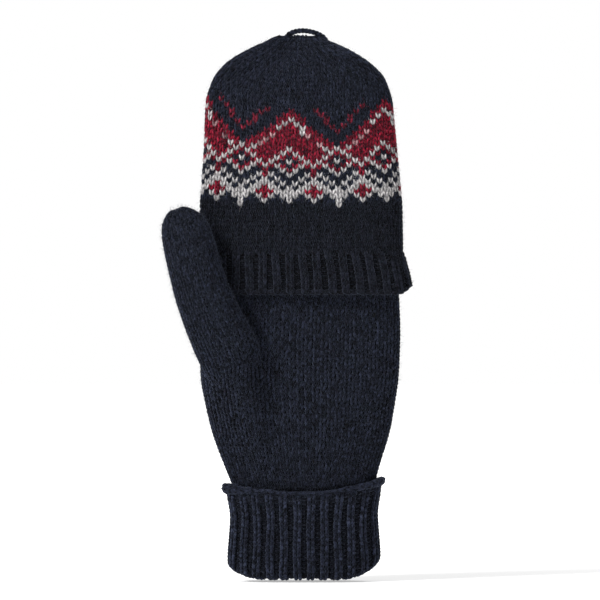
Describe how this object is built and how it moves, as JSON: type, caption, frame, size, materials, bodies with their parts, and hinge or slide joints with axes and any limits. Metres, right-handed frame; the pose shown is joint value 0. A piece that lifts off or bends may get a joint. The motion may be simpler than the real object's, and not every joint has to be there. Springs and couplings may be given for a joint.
{
  "type": "glove",
  "caption": "Left-hand knitted glove with half fingers and a fold-back mitten cap, full thumb, turned-up ribbed cuff, and a button and loop that hold the cap open.",
  "frame": {"origin": "centre of the wrist opening, level with the cuff's lower edge", "axes": "+Z from the wrist to the fingertips, -Y out of the palm, -X towards the thumb"},
  "size_m": [0.118, 0.041, 0.2637],
  "materials": {
    "navy_knit": "heathered brushed wool in stocking stitch",
    "navy_rib": "heathered wool rib",
    "pattern_knit": "wool in navy, dark red and off-white stranded colourwork",
    "loop_cord": "crocheted navy wool cord",
    "button_horn": "satin horn-look resin",
    "sewing_thread": "twisted navy thread"
  },
  "bodies": {
    "root": {"hand_body": "navy_knit", "finger_index": "navy_knit", "finger_middle": "navy_knit", "finger_ring": "navy_knit", "finger_little": "navy_knit", "finger_index_rim": "navy_rib", "finger_middle_rim": "navy_rib", "finger_ring_rim": "navy_rib", "finger_little_rim": "navy_rib", "knuckle_seam": "navy_rib", "cuff_inner_layer": "navy_rib", "cuff_turnup": "navy_rib", "cuff_rolled_edge": "navy_rib", "button": "button_horn", "button_thread": "sewing_thread"},
    "cap": {"cap_palm_panel": "pattern_knit", "cap_back_panel": "pattern_knit", "cap_hem": "navy_rib", "cap_loop": "loop_cord", "loop_anchors": "loop_cord"},
    "thumb": {"thumb_sleeve": "navy_knit"}
  },
  "joints": [
    {"name": "cap_flip", "type": "hinge", "parent": "root", "child": "cap", "pos_m": [0, 0.0118, 0.1577], "axis": [-1, 0, 0], "range_deg": [0, 180], "deforming": ["cap_palm_panel", "cap_hem"]},
    {"name": "thumb_swing", "type": "hinge", "parent": "root", "child": "thumb", "pos_m": [-0.0347, 0, 0.108], "axis": [0, -1, 0], "range_deg": [0, 35]}
  ]
}
